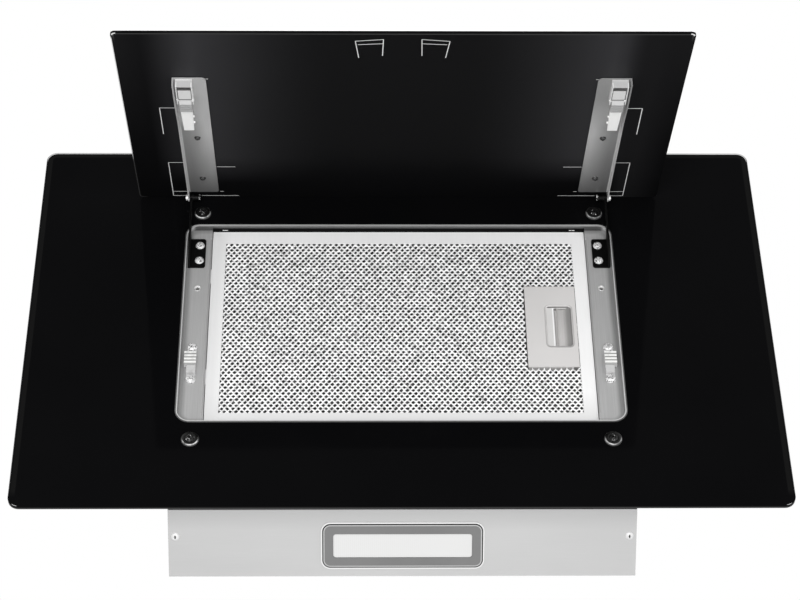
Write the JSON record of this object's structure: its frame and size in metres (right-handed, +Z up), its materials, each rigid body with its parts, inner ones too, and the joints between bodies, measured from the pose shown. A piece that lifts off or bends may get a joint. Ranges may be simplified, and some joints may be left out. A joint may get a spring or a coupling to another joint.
{
  "type": "range hood",
  "caption": "Inclined wall range hood: black glass front panel that flips up over a mesh grease filter in a grey tray, with a lamp below, a scroll blower inside and a round top outlet.",
  "frame": {"origin": "centre of the four wall holes, on the back face", "axes": "+X to the right as the cook faces the hood, +Y into the wall, +Z up; the front faces -Y"},
  "size_m": [0.8, 0.5499, 0.4066],
  "materials": {
    "casing_steel": "plain zinc-coated sheet",
    "bottom_sheet": "satin silver-grey coated sheet",
    "black_glass": "black-backed toughened glass, polished edges",
    "rubber_pads": "matt",
    "dark_washer": "black, semi-gloss",
    "dark_screw": "blackened",
    "tray_sheet": "satin grey coated sheet",
    "bright_screw": "bright zinc",
    "hinge_black": "matt black coating",
    "bracket_steel": "plain steel strip",
    "bond_foam": "black foam tape",
    "white_plastic": "white",
    "bezel_grey": "satin mid grey",
    "diffuser": "frosted",
    "board_white": "white solder mask",
    "board_green": "green solder mask",
    "black_plastic": "moulded",
    "motor_paint": "grey enamel",
    "filter_aluminium": "bright rolled aluminium",
    "handle_grey": "light grey"
  },
  "bodies": {
    "hood": {"side_panel_left": "casing_steel", "side_panel_right": "casing_steel", "top_panel": "casing_steel", "back_panel": "casing_steel", "front_plate": "casing_steel", "bottom_plate": "bottom_sheet", "bottom_screws": "bright_screw", "main_glass": "black_glass", "glass_pads": "rubber_pads", "glass_washers": "dark_washer", "glass_screws": "dark_screw", "filter_tray": "tray_sheet", "tray_rivets": "bright_screw", "hinge_arm_left": "hinge_black", "hinge_arm_right": "hinge_black", "hinge_arm_screws": "bright_screw", "hinge_pins": "bright_screw", "hinge_washers": "bright_screw", "strike_left": "white_plastic", "strike_right": "white_plastic", "strike_screws": "bright_screw", "lamp_bezel": "bezel_grey", "lamp_diffuser": "diffuser", "led_board": "board_white", "lamp_housing": "casing_steel", "led_driver": "white_plastic", "touch_board": "board_green", "terminal_box": "black_plastic", "terminal_lid": "black_plastic", "capacitor": "white_plastic", "cable_gland": "black_plastic", "blower_casing_left": "black_plastic", "blower_casing_right": "black_plastic", "motor_body": "motor_paint", "motor_bracket": "casing_steel", "outlet_collar": "black_plastic", "flap_pins": "bright_screw", "inner_screws": "bright_screw"},
    "front_panel": {"front_glass": "black_glass", "panel_bracket_left": "bracket_steel", "panel_bracket_right": "bracket_steel", "bracket_pads": "bond_foam", "bracket_screws": "dark_screw", "catch_housing_left": "bracket_steel", "catch_housing_right": "bracket_steel", "catch_pins": "bright_screw", "catch_springs": "bright_screw"},
    "catch_left": {"catch_lever_left": "white_plastic"},
    "catch_right": {"catch_lever_right": "white_plastic"},
    "filter": {"filter_frame": "filter_aluminium", "filter_mesh": "filter_aluminium", "filter_core": "filter_aluminium", "filter_handle": "handle_grey", "latch_spring": "bright_screw"},
    "latch": {"latch_slider": "white_plastic"},
    "fan": {"impeller": "black_plastic", "motor_shaft": "bright_screw"},
    "flap_front": {"flap_front": "black_plastic"},
    "flap_rear": {"flap_rear": "black_plastic"}
  },
  "joints": [
    {"name": "panel_hinge", "type": "hinge", "parent": "hood", "child": "front_panel", "pos_m": [0, -0.32145, 0.14265], "axis": [-1, 0, 0], "range_deg": [-74.5, 0]},
    {"name": "catch_left_pivot", "type": "hinge", "parent": "front_panel", "child": "catch_left", "pos_m": [-0.2235, -0.46366, -0.03301], "axis": [1, 0, 0], "range_deg": [0, 4], "stiffness_Nm_per_rad": 0.3, "springref_deg": -5.73},
    {"name": "catch_right_pivot", "type": "hinge", "parent": "front_panel", "child": "catch_right", "pos_m": [0.2235, -0.46366, -0.03301], "axis": [1, 0, 0], "range_deg": [0, 4], "stiffness_Nm_per_rad": 0.3, "springref_deg": -5.73},
    {"name": "filter_tilt", "type": "hinge", "parent": "hood", "child": "filter", "pos_m": [-0.20675, -0.20823, 0.0139], "axis": [0, 0.5736, -0.8192], "range_deg": [0, 12]},
    {"name": "latch_slide", "type": "slide", "parent": "filter", "child": "latch", "axis": [-1, 0, 0], "range_m": [-0.0027, 0.0025], "stiffness_N_per_m": 400, "deforming": ["latch_spring"]},
    {"name": "fan_spin", "type": "hinge", "parent": "hood", "child": "fan", "pos_m": [0, -0.095, 0.06], "axis": [1, 0, 0], "continuous": true},
    {"name": "flap_front_pivot", "type": "hinge", "parent": "hood", "child": "flap_front", "pos_m": [0, -0.11687, 0.19], "axis": [-1, 0, 0], "range_deg": [0, 75]},
    {"name": "flap_rear_pivot", "type": "hinge", "parent": "hood", "child": "flap_rear", "pos_m": [0, -0.11687, 0.19], "axis": [1, 0, 0], "range_deg": [0, 75]}
  ]
}
